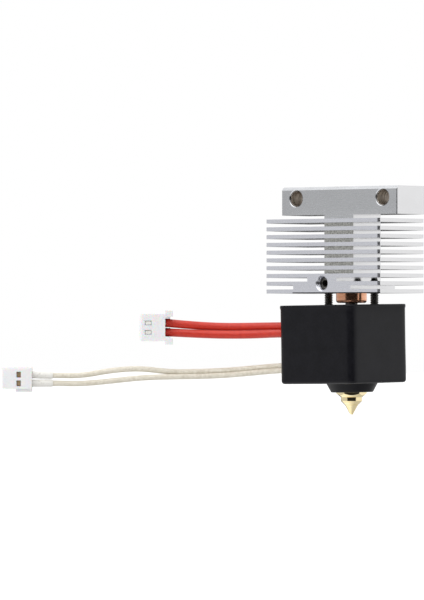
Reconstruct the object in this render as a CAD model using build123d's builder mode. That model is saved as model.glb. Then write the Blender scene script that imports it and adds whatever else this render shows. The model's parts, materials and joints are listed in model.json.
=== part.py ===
"""Direct-drive hotend assembly: finned heatsink, bi-metal heat break, heater block, sock, nozzle and leads.

Units are millimetres. The origin lies midway between the two mounting holes on the flat rear face.
+X points right, +Y rearwards through the mounting face, and +Z up. The nozzle points down, along -Z.
"""

from build123d import *
import os
from math import pi, radians, tan

os.makedirs("parts", exist_ok=True)

# ---------------------------------------------------------------- driving dimensions
AXIS_Y = -5.4                 # nozzle and filament axis, in front of the rear mounting face

# Heatsink
BAR_WIDTH = 33.4
BAR_DEPTH = 10.0
BAR_TOP = 2.6
BAR_BOTTOM = -3.8
BAR_TOP_CHAMFER = 0.7
BAR_EDGE_CHAMFER = 0.15
MOUNT_SPACING = 25.0
MOUNT_HOLE_RADIUS = 1.7       # clearance for M3
MOUNT_HOLE_CHAMFER = 0.3
COLUMN_WIDTH = 8.4
COLUMN_CHAMFER = 0.3
FIN_COUNT = 10
FIN_WIDTH = 33.0
FIN_DEPTH = 16.2
FIN_TOP = -4.8                # top face of the uppermost fin
FIN_PITCH = 1.77
FIN_THICKNESS = 0.9
FIN_CORNER = 0.75             # front corners; the rear ones are square
FOOT_WIDTH = 16.6             # solid block between the two lowest fins

# Filament path and heat break
FILAMENT_RADIUS = 1.0         # 2 mm path for 1.75 mm filament
GUIDE_RADIUS = 2.0            # 4 mm PTFE tube
GUIDE_TOP = 2.0
GUIDE_FUNNEL = 0.4            # widens the tube's mouth for the filament
GUIDE_CHAMFER = 0.5           # on the bore's mouth in the bar
SLEEVE_RADIUS = 3.5
SLEEVE_TOP = -11.9
SLEEVE_BOTTOM = -23.8
SLEEVE_FILLET = 0.6
THROAT_RADIUS = 1.4           # thin-walled heat break between sleeve and block
THREAD_RADIUS = 2.98          # M6 thread of throat and nozzle
THREAD_CLEARANCE = 0.04
THROAT_BOTTOM = -33.2

# Heater block, measured from the nozzle axis in X and Y
BLOCK_LEFT = -8.8
BLOCK_RIGHT = 8.8
BLOCK_FRONT = -11.4
BLOCK_REAR = 5.5
BLOCK_TOP = -25.6
BLOCK_BOTTOM = -40.6
BLOCK_CHAMFER = 0.3

# Cartridges lie along X and open at the block's left face
HEATER_RADIUS = 3.0
HEATER_LENGTH = 16.0
HEATER_Y = AXIS_Y - 7.2
HEATER_Z = -29.9
SENSOR_RADIUS = 1.5
SENSOR_LENGTH = 10.0
SENSOR_Y = AXIS_Y - 7.0
SENSOR_Z = -38.4
CARTRIDGE_GAP = 0.03

# Silicone sock
SOCK_GAP = 0.15
SOCK_WALL = 1.8
SOCK_TOP = -24.2
SOCK_BOTTOM = -42.0
SOCK_CORNER = 1.9
SOCK_EDGE = 0.7
SKIRT_TOP_RADIUS = 5.8
SKIRT_BOTTOM_RADIUS = 4.85
SKIRT_BOTTOM = -44.1
SKIRT_HOLE_RADIUS = 3.7
NOTCH_WIDTH = 3.8             # open slot in the left wall, for the leads
NOTCH_BOTTOM = -39.9

# Nozzle
HEX_ACROSS_FLATS = 6.0
HEX_TURN = 40                 # degrees from +X to the first corner, as the nozzle happens to be tightened
HEX_TOP = -41.0
HEX_BOTTOM = -44.35
BAND_RADIUS = 2.43
BAND_TOP = -45.2
BAND_BOTTOM = -46.05
CONE_RADIUS = 1.45
CONE_TOP = -47.05
TIP_RADIUS = 0.3
TIP_Z = -49.15
ORIFICE_RADIUS = 0.2
NOZZLE_THREAD_TOP = -33.6

# Fasteners
M2_RADIUS = 0.97
M3_RADIUS = 1.5
SUPPORT_OFFSET = 6.63         # support screws, left and right of the nozzle axis
SUPPORT_TOP = -18.15
SUPPORT_HEAD_RADIUS = 1.75
SUPPORT_HEAD_HEIGHT = 2.0
M2_KEY_WIDTH = 1.5
M3_KEY_WIDTH = 1.5
M2_PITCH = 0.4
M3_PITCH = 0.5
M6_PITCH = 1.0
TAP_CLEARANCE = 0.02          # tapped and press holes are this much wider in radius
TAPPED_CHAMFER = 0.2          # mouth of the set screw's hole
TAPPED_GROOVE = 0.14          # depth of the thread cut in its wall
TAPPED_THREAD_END = 7.0
SUPPORT_CLEARANCE = 0.13      # round the support screws' shanks in the block
HEAD_CLEARANCE = 0.1          # round their heads
SET_SCREW_Z = -19.4
SET_SCREW_LENGTH = 6.0
HEATER_CLAMP_X = 3.2          # grub screw from below, against the heater cartridge
HEATER_CLAMP_LENGTH = 5.0
SENSOR_CLAMP_X = -4.0         # grub screw from the front, against the thermistor cartridge
SENSOR_CLAMP_LENGTH = 2.5

# Insides of the cartridges
CARTRIDGE_WALL = 0.3
CARTRIDGE_END = 0.6           # thickness of the closed end
SEAL_DEPTH = 1.2
BEAD_RADIUS = 0.9

# Leads and connectors
HEATER_LEAD_RADIUS = 0.92
SENSOR_LEAD_RADIUS = 0.61
CONNECTOR_OUT = Vector(-0.7660, -0.6428, 0)      # away from the leads, to the mating end

# Heater connector: sizes are length, thickness, height
HEATER_PITCH = 2.15
HEATER_BODY = (7.0, 5.0, 6.2)
HEATER_EAR = (1.7, 5.6, 1.4)  # ears above and below
HEATER_EAR_BACK = 0.6         # the ears stand this far back from the body
HEATER_RIB_Z = 1.9            # guide ribs along the windowless side
HEATER_CAVITY = 1.95
HEATER_INSET = 1.0            # how far the leads reach into the housing
HEATER_CENTRE_Z = -29.4
HEATER_WINDOW = (1.5, 1.0)    # length, height
HEATER_WINDOW_AT = 5.0        # centre of the windows, from the rear face

# Thermistor connector
SENSOR_PITCH = 2.0
SENSOR_BODY = (6.9, 4.4, 4.6)
SENSOR_FOOT = (3.7, 3.6, 1.0) # latch foot under the rear half
SENSOR_RAIL = 0.6             # height of the rail along the top; half of it is sunk in the body
SENSOR_CAVITY = 1.5
SENSOR_INSET = 1.0
SENSOR_CENTRE_Z = -41.15
SENSOR_WINDOW = (1.0, 1.3)
SENSOR_WINDOW_AT = 3.0
HOUSING_FRONT_WALL = 0.8

# Shrink sleeves round the thermistor leads, butted against the housing
SHRINK_LENGTH = 4.8
SHRINK_RADIUS = 0.85
SHRINK_BORE = 0.66

# Routes of the leads, measured from the nozzle axis in X and Y
HEATER_UPPER_ROUTE = [
    (-8.8, -6.5, -29.1),
    (-15.4, -6.5, -29.1),
    (-22.1, -7.8, -29.2),
    (-28.25, -10.85, -29.3),
    (-33.9, -15.3, -28.95),
    (-38.65, -19.75, -28.325),
]
HEATER_LOWER_ROUTE = [
    (-8.8, -7.65, -30.7),
    (-15.1, -7.65, -30.7),
    (-21.7, -9.1, -31.0),
    (-27.9, -12.1, -31.05),
    (-33.65, -16.0, -30.8),
    (-38.65, -19.75, -30.475),
]
SENSOR_UPPER_ROUTE = [
    (-8.8, -6.65, -37.9),
    (-14.85, -6.65, -38.05),
    (-21.15, -8.1, -38.6),
    (-27.1, -11.15, -39.2),
    (-32.35, -15.25, -39.5),
    (-37.45, -19.75, -39.6),
    (-42.6, -24.15, -38.7),
    (-47.7, -28.65, -39.2),
    (-52.7, -33.0, -40.45),
    (-57.5, -37.2, -40.32),
    (-62.05, -41.0, -40.15),
]
SENSOR_LOWER_ROUTE = [
    (-8.8, -7.35, -38.95),
    (-14.75, -7.35, -39.15),
    (-20.9, -8.75, -39.7),
    (-26.75, -11.75, -40.3),
    (-31.9, -15.75, -40.6),
    (-37.0, -20.25, -40.65),
    (-42.35, -24.45, -40.9),
    (-47.55, -28.8, -41.65),
    (-52.7, -33.0, -42.3),
    (-57.5, -37.2, -42.12),
    (-62.05, -41.0, -42.15),
]

# ---------------------------------------------------------------- values worked out from them
FIN_STACK_BOTTOM = FIN_TOP - (FIN_COUNT - 1) * FIN_PITCH - FIN_THICKNESS
FIN_CENTRE_Y = -FIN_DEPTH / 2
BLOCK_FRONT_Y = AXIS_Y + BLOCK_FRONT
BLOCK_REAR_Y = AXIS_Y + BLOCK_REAR
HEAD_SEAT = BLOCK_BOTTOM + SUPPORT_HEAD_HEIGHT + 0.2
RIGHT = Vector(1, 0, 0)
REARWARD = Vector(0, 1, 0)
UP = Vector(0, 0, 1)
MOUTH = 1.0                   # how far a cutter runs past the face it opens
NEAR = 0.01                   # tolerance for picking edges and corners by position
ALONG = (Align.MIN, Align.CENTER, Align.CENTER)  # boxes that start at local X = 0


def fin_top(number):
    """Top face of a fin; the uppermost fin is number 1."""
    return FIN_TOP - (number - 1) * FIN_PITCH


def fin_bottom(number):
    """Underside of a fin."""
    return fin_top(number) - FIN_THICKNESS


# ---------------------------------------------------------------- shared shapes
def turned(outline, origin, direction, side):
    """Solid of revolution: outline holds (radius, distance along direction) points from origin."""
    across = side.normalized()
    plane = Plane(origin=origin, x_dir=across, z_dir=across.cross(direction))
    with BuildPart() as piece:
        with BuildSketch(plane):
            with BuildLine():
                Polyline(*outline, close=True)
            make_face()
        revolve(axis=Axis(origin, direction))
    return piece.part


def thread_points(crest, depth, pitch, start, end):
    """Ring-shaped thread flanks from start to end: crest and root points, one ring for each pitch."""
    count = int((end - start) / pitch)
    points = []
    for ring in range(count):
        base = start + ring * pitch
        points.append((crest - depth, base + 0.10 * pitch))
        points.append((crest, base + 0.45 * pitch))
        points.append((crest, base + 0.65 * pitch))
        points.append((crest - depth, base + 1.00 * pitch))
    return points


def grub_screw(length, tip, direction, side):
    """Headless M3 screw from its cup point at tip, with a hexagon socket in its outer end."""
    bevel = 0.5 * M3_PITCH
    cup_depth = 0.35
    outline = [(0, cup_depth), (0.5 * M3_RADIUS, 0), (M3_RADIUS - bevel, 0)]
    outline += thread_points(M3_RADIUS, bevel, M3_PITCH, bevel, length - bevel)
    outline += [(M3_RADIUS - bevel, length), (0, length)]
    end = tip + direction * length
    socket_plane = Plane(origin=end, x_dir=side, z_dir=direction)
    with BuildPart() as screw:
        add(turned(outline, tip, direction, side))
        with BuildSketch(socket_plane):
            RegularPolygon(M3_KEY_WIDTH / 2, 6, major_radius=False)
        extrude(amount=-0.4 * length, mode=Mode.SUBTRACT)
    return screw.part


def support_screw(x):
    """M2 cap screw: head in the block's underside, threaded end in the two lowest fins."""
    depth = 0.5 * M2_PITCH
    socket_depth = 0.6 * SUPPORT_HEAD_HEIGHT
    centre = Vector(x, AXIS_Y, 0)
    head_bottom = HEAD_SEAT - SUPPORT_HEAD_HEIGHT
    outline = [(0, head_bottom), (SUPPORT_HEAD_RADIUS - depth, head_bottom)]
    outline += [(SUPPORT_HEAD_RADIUS, head_bottom + depth)]
    outline += [(SUPPORT_HEAD_RADIUS, HEAD_SEAT), (M2_RADIUS - depth, HEAD_SEAT)]
    outline += thread_points(M2_RADIUS, depth, M2_PITCH, HEAD_SEAT + 0.1, SUPPORT_TOP - depth)
    outline += [(M2_RADIUS - 1.5 * depth, SUPPORT_TOP), (0, SUPPORT_TOP)]
    with BuildPart() as screw:
        add(turned(outline, centre, UP, RIGHT))
        with BuildSketch(Plane(origin=centre + UP * head_bottom, z_dir=-UP)):
            RegularPolygon(M2_KEY_WIDTH / 2, 6, major_radius=False)
        extrude(amount=-socket_depth, mode=Mode.SUBTRACT)
    return screw.part


def lead(route, radius, name):
    """Round lead along straight runs joined by the largest tangent arcs that the runs allow."""
    points = [Vector(x, y + AXIS_Y, z) for x, y, z in route]
    runs = [b - a for a, b in zip(points, points[1:])]
    radii = []
    for first, second in zip(runs, runs[1:]):
        half_turn = radians(first.get_angle(second) / 2)
        shorter = min(first.length, second.length)
        radii.append(0.45 * shorter / tan(half_turn))
    print(name, "arc radii", [round(r, 1) for r in radii])
    with BuildPart() as tube:
        with BuildLine() as path:
            FilletPolyline(*points, radius=radii)
        with BuildSketch(Plane(origin=path.line @ 0, z_dir=path.line % 0)):
            Circle(radius)
        sweep(path=path.line)
    length = sum(edge.length for edge in path.edges())
    volume_ratio = tube.part.volume / (pi * radius**2 * length)
    print(name, "length", round(length, 2), "volume over section times length", round(volume_ratio, 5))
    return tube.part


# ---------------------------------------------------------------- heatsink
with BuildPart() as heatsink:
    # Mounting bar and column, one T-shaped plate standing on the rear face
    with BuildSketch(Plane.XZ) as tee:
        with Locations((0, (BAR_TOP + BAR_BOTTOM) / 2)):
            Rectangle(BAR_WIDTH, BAR_TOP - BAR_BOTTOM)
        with Locations((0, (BAR_BOTTOM + FIN_STACK_BOTTOM) / 2)):
            Rectangle(COLUMN_WIDTH, BAR_BOTTOM - FIN_STACK_BOTTOM)
        inner_corners = tee.vertices().filter_by_position(Axis.X, -COLUMN_WIDTH / 2, COLUMN_WIDTH / 2)
        under_bar = inner_corners.filter_by_position(Axis.Z, BAR_BOTTOM - NEAR, BAR_BOTTOM + NEAR)
        chamfer(under_bar, COLUMN_CHAMFER)
    extrude(amount=BAR_DEPTH)
    long_edges = heatsink.edges().filter_by(Axis.X)
    top_edges = long_edges.filter_by_position(Axis.Z, BAR_TOP - NEAR, BAR_TOP + NEAR)
    chamfer(top_edges.sort_by(Axis.Y)[0], BAR_TOP_CHAMFER)
    upright_edges = heatsink.edges().filter_by(Axis.Z)
    bar_ends = upright_edges.filter_by_position(Axis.Y, -BAR_DEPTH - NEAR, -BAR_DEPTH + NEAR)
    chamfer(bar_ends.group_by(Axis.X)[0] + bar_ends.group_by(Axis.X)[-1], BAR_EDGE_CHAMFER)
    # Thin horizontal fins with rounded corners, flush with the rear face and standing forward of the column
    for number in range(1, FIN_COUNT + 1):
        with BuildSketch(Plane.XY.offset(fin_bottom(number))) as fin:
            with Locations((0, FIN_CENTRE_Y)):
                Rectangle(FIN_WIDTH, FIN_DEPTH)
            fillet(fin.vertices().group_by(Axis.Y)[0], FIN_CORNER)
        extrude(amount=FIN_THICKNESS)
    # Solid neck between fins 8 and 9, and the wider foot between fins 9 and 10, both full depth
    with BuildSketch(Plane.XY.offset(fin_top(9))):
        with Locations((0, FIN_CENTRE_Y)):
            Rectangle(COLUMN_WIDTH, FIN_DEPTH)
    extrude(amount=fin_bottom(8) - fin_top(9))
    with BuildSketch(Plane.XY.offset(fin_top(10))):
        with Locations((0, FIN_CENTRE_Y)):
            Rectangle(FOOT_WIDTH, FIN_DEPTH)
    extrude(amount=fin_bottom(9) - fin_top(10))
    # Two mounting holes, front to back, chamfered at both ends
    wide_mouth = MOUNT_HOLE_RADIUS + MOUNT_HOLE_CHAMFER
    mount_hole_outline = [
        (0, -MOUTH),
        (wide_mouth, -MOUTH),
        (wide_mouth, 0),
        (MOUNT_HOLE_RADIUS, MOUNT_HOLE_CHAMFER),
        (MOUNT_HOLE_RADIUS, BAR_DEPTH - MOUNT_HOLE_CHAMFER),
        (wide_mouth, BAR_DEPTH),
        (wide_mouth, BAR_DEPTH + MOUTH),
        (0, BAR_DEPTH + MOUTH),
    ]
    for x in (-MOUNT_SPACING / 2, MOUNT_SPACING / 2):
        add(turned(mount_hole_outline, Vector(x, -BAR_DEPTH, 0), REARWARD, RIGHT), mode=Mode.SUBTRACT)
    # Stepped filament bore: PTFE guide above, heat break sleeve below
    add(
        turned(
            [
                (0, FIN_STACK_BOTTOM - MOUTH),
                (SLEEVE_RADIUS, FIN_STACK_BOTTOM - MOUTH),
                (SLEEVE_RADIUS, SLEEVE_TOP),
                (GUIDE_RADIUS, SLEEVE_TOP),
                (GUIDE_RADIUS, BAR_TOP - GUIDE_CHAMFER),
                (GUIDE_RADIUS + GUIDE_CHAMFER, BAR_TOP),
                (GUIDE_RADIUS + GUIDE_CHAMFER, BAR_TOP + MOUTH),
                (0, BAR_TOP + MOUTH),
            ],
            Vector(0, AXIS_Y, 0),
            UP,
            RIGHT,
        ),
        mode=Mode.SUBTRACT,
    )
    # Tapped hole for the heat break's set screw, from the front fins' plane to the sleeve bore
    tapped_length = FIN_DEPTH + AXIS_Y
    tapped_radius = M3_RADIUS + 0.05
    tapped_mouth = tapped_radius + TAPPED_CHAMFER
    tapped_outline = [(0, -MOUTH), (tapped_mouth, -MOUTH), (tapped_mouth, 0), (tapped_radius, TAPPED_CHAMFER)]
    for r, along in thread_points(tapped_radius, TAPPED_GROOVE, M3_PITCH, TAPPED_CHAMFER, TAPPED_THREAD_END):
        tapped_outline.append((r + TAPPED_GROOVE, along))
    tapped_outline += [(tapped_radius, TAPPED_THREAD_END + 0.1)]
    tapped_outline += [(tapped_radius, tapped_length), (0, tapped_length)]
    add(turned(tapped_outline, Vector(0, -FIN_DEPTH, SET_SCREW_Z), REARWARD, RIGHT), mode=Mode.SUBTRACT)
    # Holes for the two support screws, through fins 10 and 9
    with BuildSketch(Plane.XY.offset(FIN_STACK_BOTTOM)):
        with Locations((-SUPPORT_OFFSET, AXIS_Y), (SUPPORT_OFFSET, AXIS_Y)):
            Circle(M2_RADIUS + TAP_CLEARANCE)
    extrude(amount=fin_top(9) - FIN_STACK_BOTTOM, mode=Mode.SUBTRACT)

# ---------------------------------------------------------------- filament path
with BuildPart() as ptfe_guide_tube:
    add(
        turned(
            [
                (FILAMENT_RADIUS, SLEEVE_TOP),
                (GUIDE_RADIUS, SLEEVE_TOP),
                (GUIDE_RADIUS, GUIDE_TOP),
                (FILAMENT_RADIUS + GUIDE_FUNNEL, GUIDE_TOP),
                (FILAMENT_RADIUS, GUIDE_TOP - GUIDE_FUNNEL),
            ],
            Vector(0, AXIS_Y, 0),
            UP,
            RIGHT,
        )
    )

# Copper sleeve that carries the heat break's warmth into the heatsink
with BuildPart() as heat_break_sleeve:
    with BuildSketch(Plane.XY.offset(SLEEVE_BOTTOM)):
        with Locations((0, AXIS_Y)):
            Circle(SLEEVE_RADIUS)
            Circle(THROAT_RADIUS, mode=Mode.SUBTRACT)
    extrude(amount=SLEEVE_TOP - SLEEVE_BOTTOM)
    lower_rim = heat_break_sleeve.edges().filter_by(GeomType.CIRCLE).group_by(Axis.Z)[0]
    fillet(lower_rim.sort_by(SortBy.RADIUS)[-1], SLEEVE_FILLET)

# Thin-walled throat, pressed into the sleeve and threaded into the block
throat_outline = [(FILAMENT_RADIUS, THROAT_BOTTOM), (THREAD_RADIUS - 0.5, THROAT_BOTTOM)]
throat_outline += thread_points(THREAD_RADIUS, 0.5, M6_PITCH, THROAT_BOTTOM, BLOCK_TOP - 0.4)
throat_outline += [(THREAD_RADIUS - 0.5, BLOCK_TOP - 0.3), (THROAT_RADIUS, BLOCK_TOP - 0.3)]
throat_outline += [(THROAT_RADIUS, SLEEVE_TOP), (FILAMENT_RADIUS, SLEEVE_TOP)]
with BuildPart() as heat_break_throat:
    add(turned(throat_outline, Vector(0, AXIS_Y, 0), UP, RIGHT))

with BuildPart() as heat_break_set_screw:
    set_screw_tip = Vector(0, AXIS_Y - SLEEVE_RADIUS - TAP_CLEARANCE, SET_SCREW_Z)
    add(grub_screw(SET_SCREW_LENGTH, set_screw_tip, -REARWARD, RIGHT))

with BuildPart() as support_screw_left:
    add(support_screw(-SUPPORT_OFFSET))

with BuildPart() as support_screw_right:
    add(support_screw(SUPPORT_OFFSET))

# ---------------------------------------------------------------- heater block
with BuildPart() as heater_block:
    with BuildSketch(Plane.XY.offset(BLOCK_BOTTOM)):
        with Locations(((BLOCK_LEFT + BLOCK_RIGHT) / 2, (BLOCK_FRONT_Y + BLOCK_REAR_Y) / 2)):
            Rectangle(BLOCK_RIGHT - BLOCK_LEFT, BLOCK_REAR - BLOCK_FRONT)
    extrude(amount=BLOCK_TOP - BLOCK_BOTTOM)
    chamfer(heater_block.edges(), BLOCK_CHAMFER)
    # M6 bore for throat and nozzle, and the support screws' counterbored holes
    with BuildSketch(Plane.XY.offset(BLOCK_BOTTOM)):
        with Locations((0, AXIS_Y)):
            Circle(THREAD_RADIUS + THREAD_CLEARANCE)
        with Locations((-SUPPORT_OFFSET, AXIS_Y), (SUPPORT_OFFSET, AXIS_Y)):
            Circle(M2_RADIUS + SUPPORT_CLEARANCE)
    extrude(amount=BLOCK_TOP - BLOCK_BOTTOM, mode=Mode.SUBTRACT)
    with BuildSketch(Plane.XY.offset(BLOCK_BOTTOM)):
        with Locations((-SUPPORT_OFFSET, AXIS_Y), (SUPPORT_OFFSET, AXIS_Y)):
            Circle(SUPPORT_HEAD_RADIUS + HEAD_CLEARANCE)
    extrude(amount=HEAD_SEAT - BLOCK_BOTTOM, mode=Mode.SUBTRACT)
    # Blind cartridge bores from the left face
    with BuildSketch(Plane.YZ.offset(BLOCK_LEFT)):
        with Locations((HEATER_Y, HEATER_Z)):
            Circle(HEATER_RADIUS + CARTRIDGE_GAP)
    extrude(amount=HEATER_LENGTH + CARTRIDGE_GAP, mode=Mode.SUBTRACT)
    with BuildSketch(Plane.YZ.offset(BLOCK_LEFT)):
        with Locations((SENSOR_Y, SENSOR_Z)):
            Circle(SENSOR_RADIUS + CARTRIDGE_GAP)
    extrude(amount=SENSOR_LENGTH + CARTRIDGE_GAP, mode=Mode.SUBTRACT)
    # Tapped holes of the two clamping screws: from below to the heater, from the front to the sensor
    with BuildSketch(Plane.XY.offset(BLOCK_BOTTOM)):
        with Locations((HEATER_CLAMP_X, HEATER_Y)):
            Circle(M3_RADIUS + TAP_CLEARANCE)
    extrude(amount=HEATER_Z - BLOCK_BOTTOM, mode=Mode.SUBTRACT)
    with BuildSketch(Plane.XZ.offset(-BLOCK_FRONT_Y)):
        with Locations((SENSOR_CLAMP_X, SENSOR_Z)):
            Circle(M3_RADIUS + TAP_CLEARANCE)
    extrude(amount=-(SENSOR_Y - BLOCK_FRONT_Y), mode=Mode.SUBTRACT)

with BuildPart() as heater_clamp_screw:
    clamp_tip = Vector(HEATER_CLAMP_X, HEATER_Y, HEATER_Z - HEATER_RADIUS - TAP_CLEARANCE)
    add(grub_screw(HEATER_CLAMP_LENGTH, clamp_tip, -UP, RIGHT))

with BuildPart() as thermistor_clamp_screw:
    clamp_tip = Vector(SENSOR_CLAMP_X, SENSOR_Y - SENSOR_RADIUS - TAP_CLEARANCE, SENSOR_Z)
    add(grub_screw(SENSOR_CLAMP_LENGTH, clamp_tip, -REARWARD, RIGHT))

# ---------------------------------------------------------------- heater cartridge
HEATER_MOUTH = Vector(BLOCK_LEFT, HEATER_Y, HEATER_Z)
SENSOR_MOUTH = Vector(BLOCK_LEFT, SENSOR_Y, SENSOR_Z)


def cartridge_shell(radius, length, mouth):
    """Steel cup, closed at its inner end."""
    bore = radius - CARTRIDGE_WALL
    rim = CARTRIDGE_WALL / 2
    nose = 0.4
    outline = [(bore, 0), (radius - rim, 0), (radius, rim), (radius, length - nose), (radius - nose, length)]
    outline += [(0, length), (0, length - CARTRIDGE_END), (bore, length - CARTRIDGE_END)]
    return turned(outline, mouth, RIGHT, REARWARD)


def end_seal(radius, mouth):
    """Disc that closes the shell's mouth round the leads."""
    bore = radius - CARTRIDGE_WALL
    return turned([(0, 0), (bore, 0), (bore, SEAL_DEPTH), (0, SEAL_DEPTH)], mouth, RIGHT, REARWARD)


with BuildPart() as heater_sheath:
    add(cartridge_shell(HEATER_RADIUS, HEATER_LENGTH, HEATER_MOUTH))

with BuildPart() as heater_end_seal:
    add(end_seal(HEATER_RADIUS, HEATER_MOUTH))

# Ceramic core, grooved for the resistance winding
with BuildPart() as heater_core:
    core_radius = HEATER_RADIUS - CARTRIDGE_WALL - 0.2
    groove = 0.3
    groove_pitch = 0.9
    core_end = HEATER_LENGTH - CARTRIDGE_END
    core_outline = [(0, SEAL_DEPTH), (core_radius - groove, SEAL_DEPTH)]
    core_outline += thread_points(core_radius, groove, groove_pitch, SEAL_DEPTH + 0.4, core_end - 0.8)
    core_outline += [(core_radius - groove, core_end), (0, core_end)]
    add(turned(core_outline, HEATER_MOUTH, RIGHT, REARWARD))

# ---------------------------------------------------------------- thermistor cartridge
with BuildPart() as thermistor_shell:
    add(cartridge_shell(SENSOR_RADIUS, SENSOR_LENGTH, SENSOR_MOUTH))

with BuildPart() as thermistor_end_seal:
    add(end_seal(SENSOR_RADIUS, SENSOR_MOUTH))

# Glass bead at the closed end of the shell
with BuildPart() as thermistor_bead:
    bead_x = SENSOR_MOUTH.X + SENSOR_LENGTH - CARTRIDGE_END - 0.1 - BEAD_RADIUS
    with Locations((bead_x, SENSOR_Y, SENSOR_Z)):
        Sphere(BEAD_RADIUS)

# ---------------------------------------------------------------- nozzle
hex_corner_radius = HEX_ACROSS_FLATS / 3**0.5
with BuildPart() as nozzle:
    nozzle_outline = [
        (0, TIP_Z),
        (TIP_RADIUS, TIP_Z),
        (CONE_RADIUS, CONE_TOP),
        (BAND_RADIUS, BAND_BOTTOM),
        (BAND_RADIUS, BAND_TOP),
        (hex_corner_radius, HEX_BOTTOM),
        (hex_corner_radius, HEX_TOP - 0.2),
        (hex_corner_radius - 0.35, HEX_TOP),
        (THREAD_RADIUS - 0.5, HEX_TOP),
    ]
    nozzle_outline += thread_points(THREAD_RADIUS, 0.5, M6_PITCH, HEX_TOP + 0.3, NOZZLE_THREAD_TOP)
    nozzle_outline += [(THREAD_RADIUS - 0.5, NOZZLE_THREAD_TOP), (0, NOZZLE_THREAD_TOP)]
    add(turned(nozzle_outline, Vector(0, AXIS_Y, 0), UP, RIGHT))
    # Spanner flats
    with BuildSketch(Plane.XY.offset(BAND_TOP)):
        with Locations((0, AXIS_Y)):
            Circle(hex_corner_radius + MOUTH)
            RegularPolygon(HEX_ACROSS_FLATS / 2, 6, major_radius=False, rotation=HEX_TURN, mode=Mode.SUBTRACT)
    extrude(amount=HEX_TOP - BAND_TOP, mode=Mode.SUBTRACT)
    # Melt chamber, narrowing to the orifice
    add(
        turned(
            [
                (0, TIP_Z - MOUTH),
                (ORIFICE_RADIUS, TIP_Z - MOUTH),
                (ORIFICE_RADIUS, TIP_Z + 0.6),
                (FILAMENT_RADIUS, TIP_Z + 1.9),
                (FILAMENT_RADIUS, NOZZLE_THREAD_TOP + MOUTH),
                (0, NOZZLE_THREAD_TOP + MOUTH),
            ],
            Vector(0, AXIS_Y, 0),
            UP,
            RIGHT,
        ),
        mode=Mode.SUBTRACT,
    )

# ---------------------------------------------------------------- silicone sock
SOCK_OUT = SOCK_GAP + SOCK_WALL
sock_width = BLOCK_RIGHT - BLOCK_LEFT + 2 * SOCK_OUT
sock_depth = BLOCK_REAR - BLOCK_FRONT + 2 * SOCK_OUT
sock_centre = ((BLOCK_LEFT + BLOCK_RIGHT) / 2, (BLOCK_FRONT_Y + BLOCK_REAR_Y) / 2)
with BuildPart() as silicone_sock:
    with BuildSketch(Plane.XY.offset(SOCK_BOTTOM)):
        with Locations(sock_centre):
            RectangleRounded(sock_width, sock_depth, SOCK_CORNER)
    extrude(amount=SOCK_TOP - SOCK_BOTTOM)
    fillet(silicone_sock.faces().sort_by(Axis.Z)[0].edges(), SOCK_EDGE)
    # Round skirt under the floor, tapering towards the nozzle
    add(
        turned(
            [
                (0, SOCK_BOTTOM + 0.5),
                (SKIRT_TOP_RADIUS, SOCK_BOTTOM + 0.5),
                (SKIRT_TOP_RADIUS, SOCK_BOTTOM),
                (SKIRT_BOTTOM_RADIUS + 0.15, SKIRT_BOTTOM + 0.25),
                (SKIRT_BOTTOM_RADIUS - 0.15, SKIRT_BOTTOM),
                (0, SKIRT_BOTTOM),
            ],
            Vector(0, AXIS_Y, 0),
            UP,
            RIGHT,
        )
    )
    # Cavity for the block, open at the top
    with BuildSketch(Plane.XY.offset(BLOCK_BOTTOM - SOCK_GAP)):
        with Locations(sock_centre):
            RectangleRounded(sock_width - 2 * SOCK_WALL, sock_depth - 2 * SOCK_WALL, 0.4)
    extrude(amount=SOCK_TOP - BLOCK_BOTTOM + SOCK_GAP, mode=Mode.SUBTRACT)
    # Nozzle hole
    with BuildSketch(Plane.XY.offset(SKIRT_BOTTOM)):
        with Locations((0, AXIS_Y)):
            Circle(SKIRT_HOLE_RADIUS)
    extrude(amount=BLOCK_BOTTOM - SKIRT_BOTTOM, mode=Mode.SUBTRACT)
    # Round-ended notch in the left wall, open to the top edge, so the sock pulls off past the leads
    notch_centre = (HEATER_Y + SENSOR_Y) / 2
    notch_round = NOTCH_BOTTOM + NOTCH_WIDTH / 2
    with BuildSketch(Plane.YZ.offset(BLOCK_LEFT - SOCK_OUT - MOUTH)):
        with Locations((notch_centre, notch_round)):
            Circle(NOTCH_WIDTH / 2)
        with Locations((notch_centre, (notch_round + SOCK_TOP + MOUTH) / 2)):
            Rectangle(NOTCH_WIDTH, SOCK_TOP + MOUTH - notch_round)
    extrude(amount=SOCK_OUT + MOUTH + 0.5, mode=Mode.SUBTRACT)

# ---------------------------------------------------------------- leads
with BuildPart() as heater_lead_upper:
    add(lead(HEATER_UPPER_ROUTE, HEATER_LEAD_RADIUS, "heater_lead_upper"))

with BuildPart() as heater_lead_lower:
    add(lead(HEATER_LOWER_ROUTE, HEATER_LEAD_RADIUS, "heater_lead_lower"))

with BuildPart() as thermistor_lead_upper:
    add(lead(SENSOR_UPPER_ROUTE, SENSOR_LEAD_RADIUS, "thermistor_lead_upper"))

with BuildPart() as thermistor_lead_lower:
    add(lead(SENSOR_LOWER_ROUTE, SENSOR_LEAD_RADIUS, "thermistor_lead_lower"))


# ---------------------------------------------------------------- connectors
# Both housings are built on a plane at the middle of the body's rear face:
# local X runs to the mating end, local Y to the side with the contact windows, local Z is up.
def connector_plane(route, inset, centre_z):
    """Plane of a housing whose leads end inset millimetres inside its rear face."""
    x, y, _ = route[-1]
    end = Vector(x, y + AXIS_Y, centre_z)
    return Plane(origin=end - CONNECTOR_OUT * inset, x_dir=CONNECTOR_OUT, z_dir=UP)


def lead_end(plane, route):
    """Where a lead ends, in the housing's own coordinates."""
    x, y, z = route[-1]
    return plane.to_local_coords(Vector(x, y + AXIS_Y, z))


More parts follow.
